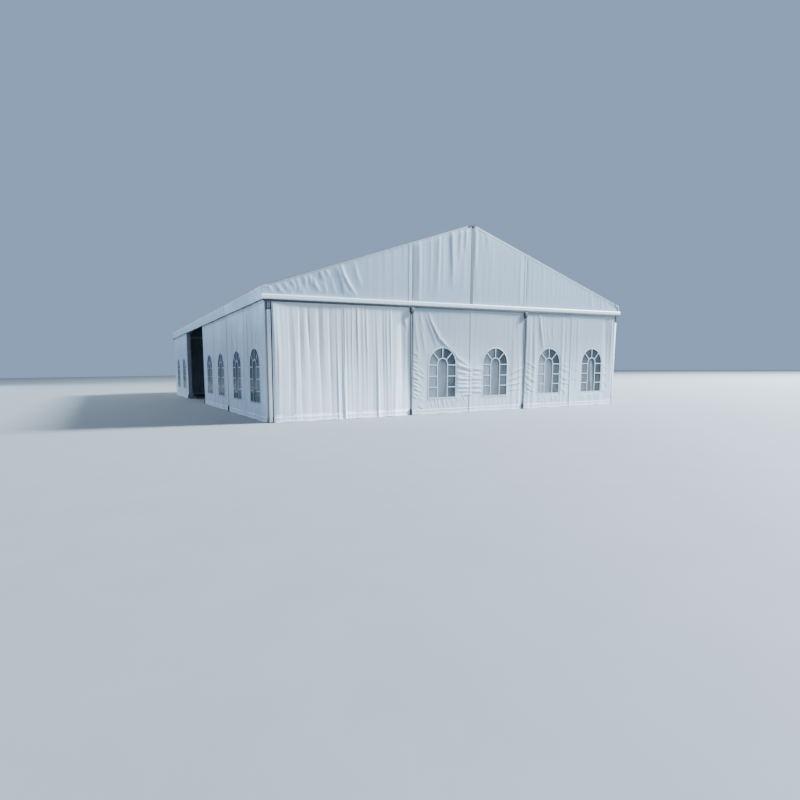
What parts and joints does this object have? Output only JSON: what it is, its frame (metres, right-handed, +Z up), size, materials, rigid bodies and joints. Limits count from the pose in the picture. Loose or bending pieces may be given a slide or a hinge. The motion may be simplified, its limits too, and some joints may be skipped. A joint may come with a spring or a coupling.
{
  "type": "marquee tent",
  "caption": "Clear-span marquee with a pitched cloth roof on an aluminium frame, curtain walls with arched windows and an open side bay.",
  "frame": {"origin": "middle of the footprint, at ground level", "axes": "+X across the gables, +Y from the front gable along the ridge to the back gable, +Z up"},
  "size_m": [15.2612, 20.2006, 6.48],
  "materials": {
    "frame_aluminium": "mill-finished, dull",
    "white_beam": "white, satin",
    "roof_cloth": "white coated cloth, satin",
    "wall_cloth": "white coated cloth, matte, in folds",
    "window_film": "clear flexible film, slightly hazed"
  },
  "bodies": {
    "root": {"eave_beam_left": "frame_aluminium", "eave_beam_right": "frame_aluminium", "gable_beam_back": "white_beam", "gable_beam_front": "white_beam", "gable_infill_back": "roof_cloth", "gable_infill_front": "roof_cloth", "leg_left_1": "frame_aluminium", "leg_left_2": "frame_aluminium", "leg_left_3": "frame_aluminium", "leg_left_4": "frame_aluminium", "leg_left_5": "frame_aluminium", "leg_right_1": "frame_aluminium", "leg_right_2": "frame_aluminium", "leg_right_3": "frame_aluminium", "leg_right_4": "frame_aluminium", "leg_right_5": "frame_aluminium", "purlin_left": "frame_aluminium", "purlin_right": "frame_aluminium", "rafters_1": "frame_aluminium", "rafters_2": "frame_aluminium", "rafters_3": "frame_aluminium", "rafters_4": "frame_aluminium", "rafters_5": "frame_aluminium", "ridge_purlin": "frame_aluminium", "roof_cover_1": "roof_cloth", "roof_cover_2": "roof_cloth", "roof_cover_3": "roof_cloth", "roof_cover_4": "roof_cloth", "upright_back_left": "frame_aluminium", "upright_back_right": "frame_aluminium", "upright_front_left": "frame_aluminium", "upright_front_right": "frame_aluminium", "wall_back_1": "wall_cloth", "wall_back_2": "wall_cloth", "wall_back_3": "wall_cloth", "wall_front_1": "wall_cloth", "wall_front_2": "wall_cloth", "wall_front_3": "wall_cloth", "wall_left_1": "wall_cloth", "wall_left_2": "wall_cloth", "wall_left_4": "wall_cloth", "wall_right_1": "wall_cloth", "wall_right_2": "wall_cloth", "wall_right_3": "wall_cloth", "wall_right_4": "wall_cloth", "window_film_back": "window_film", "window_film_front": "window_film", "window_film_left_1": "window_film", "window_film_left_4": "window_film", "window_film_right": "window_film"}
  },
  "joints": []
}
